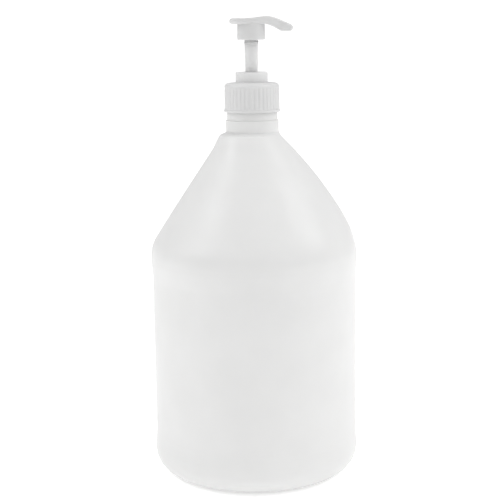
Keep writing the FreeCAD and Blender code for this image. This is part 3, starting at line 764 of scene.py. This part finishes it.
CARRIED = {
    "gasket": FOAM, "pump_housing": PUMP_PLASTIC, "valve_cage": PUMP_PLASTIC, "stem_wiper": SEAL_PLASTIC,
    "piston": SEAL_PLASTIC, "dip_tube": TUBE_PLASTIC, "inlet_ball": BALL_STEEL, "outlet_ball": BALL_STEEL,
}


def paint_carried():
    """Gives the inner pieces that keep their CAD mesh a material of their own."""
    for name, material in CARRIED.items():
        for spot in nodes[name].material_slots:
            spot.material = material


# ---------------------------------------------------------------- studio

FRONT_LIGHT, ROOM_LIGHT, TOP_LIGHT, SEEN_LIGHT = 0.47, 0.585, 0.65, 1.1
SIDE_POWER, SIDE_CHANGE = 2.7, 0.035
RIGHT_SHARE = 1.15
BOX_PLACE, BOX_SIZE, BOX_AIM = Vector((0.85, -0.2, 0.95)), (0.35, 0.6), Vector((0, 0, 0.2))
FLOOR_HALF, FLOOR_GREY, FLOOR_GLOW = 6.0, 0.93, 0.34
CAMERA_PLACE = Vector((0.0, -0.918, 0.3356))
CAMERA_PITCH, CAMERA_ROLL = math.radians(-10.35), math.radians(-0.75)
CAMERA_LENS, CAMERA_SENSOR, CAMERA_SHIFT = 89.0, 36.0, (-0.0078, 0.001)


def make_camera():
    """A camera at about the height of the pump's head, tipped down towards the jug."""
    data = bpy.data.cameras.new("view")
    data.lens = CAMERA_LENS
    data.sensor_width = CAMERA_SENSOR
    data.shift_x, data.shift_y = CAMERA_SHIFT
    camera = bpy.data.objects.new("view", data)
    bpy.context.scene.collection.objects.link(camera)
    level = Matrix.Rotation(math.pi / 2, 4, "X")
    tilt = Matrix.Rotation(CAMERA_PITCH, 4, "X")
    roll = Matrix.Rotation(CAMERA_ROLL, 4, "Z")
    camera.matrix_world = Matrix.Translation(CAMERA_PLACE) @ tilt @ level @ roll
    bpy.context.scene.camera = camera


def make_floor():
    """A pale floor that gives off a little light, so that it shows as white as the room."""
    bm = bmesh.new()
    bmesh.ops.create_grid(bm, x_segments=1, y_segments=1, size=FLOOR_HALF)
    floor = as_object("floor", bm)
    paint = bpy.data.materials.new("pale_floor")
    paint.use_nodes = True
    shader = paint.node_tree.nodes["Principled BSDF"]
    shader.inputs["Base Color"].default_value = (*grey(FLOOR_GREY), 1)
    shader.inputs["Roughness"].default_value = 0.9
    shader.inputs["Emission Color"].default_value = (1, 1, 1, 1)
    shader.inputs["Emission Strength"].default_value = FLOOR_GLOW
    floor.data.materials.append(paint)


def softbox(name, place, power):
    """A rectangular light that faces the jug."""
    data = bpy.data.lights.new(name, "AREA")
    data.shape = "RECTANGLE"
    data.size, data.size_y = BOX_SIZE
    data.energy = power
    lamp = bpy.data.objects.new(name, data)
    bpy.context.scene.collection.objects.link(lamp)
    lamp.location = place
    lamp.rotation_euler = (BOX_AIM - place).to_track_quat("-Z", "Y").to_euler()


def make_studio():
    """A white room, seen as pure white, with a softbox at each side. Its light is weaker from the front."""
    world = bpy.data.worlds.new("studio")
    world.use_nodes = True
    tree = world.node_tree
    back = tree.nodes["Background"]
    back.inputs["Color"].default_value = (1, 1, 1, 1)
    coords = node(tree, "ShaderNodeTexCoord")
    parts = node(tree, "ShaderNodeSeparateXYZ")
    tree.links.new(coords.outputs["Generated"], parts.inputs["Vector"])
    depth = ranged(tree, parts.outputs["Y"], (-1.0, 0.4, FRONT_LIGHT, ROOM_LIGHT), "SMOOTHSTEP")
    side = ranged(tree, parts.outputs["X"], (-1.0, 1.0, -SIDE_CHANGE, SIDE_CHANGE))
    rise = ranged(tree, parts.outputs["Z"], (0.1, 1.0, 0.0, TOP_LIGHT), "SMOOTHSTEP")
    level = node(tree, "ShaderNodeMath", operation="ADD")
    tree.links.new(depth, level.inputs[0])
    tree.links.new(side, level.inputs[1])
    light = node(tree, "ShaderNodeMath", operation="ADD")
    tree.links.new(level.outputs["Value"], light.inputs[0])
    tree.links.new(rise, light.inputs[1])
    rays = node(tree, "ShaderNodeLightPath")
    strength = node(tree, "ShaderNodeMix", data_type="FLOAT")
    strength.inputs["B"].default_value = SEEN_LIGHT
    tree.links.new(rays.outputs["Is Camera Ray"], strength.inputs["Factor"])
    tree.links.new(light.outputs["Value"], strength.inputs["A"])
    tree.links.new(strength.outputs["Result"], back.inputs["Strength"])
    bpy.context.scene.world = world
    softbox("left_box", BOX_PLACE * Vector((-1, 1, 1)), SIDE_POWER)
    softbox("right_box", BOX_PLACE, SIDE_POWER * RIGHT_SHARE)
    bpy.context.scene.view_settings.view_transform = "Standard"


make_camera()
make_floor()
make_studio()
make_jug()
make_closure()
make_collar()
make_stem()
make_head()
make_spring()
paint_carried()
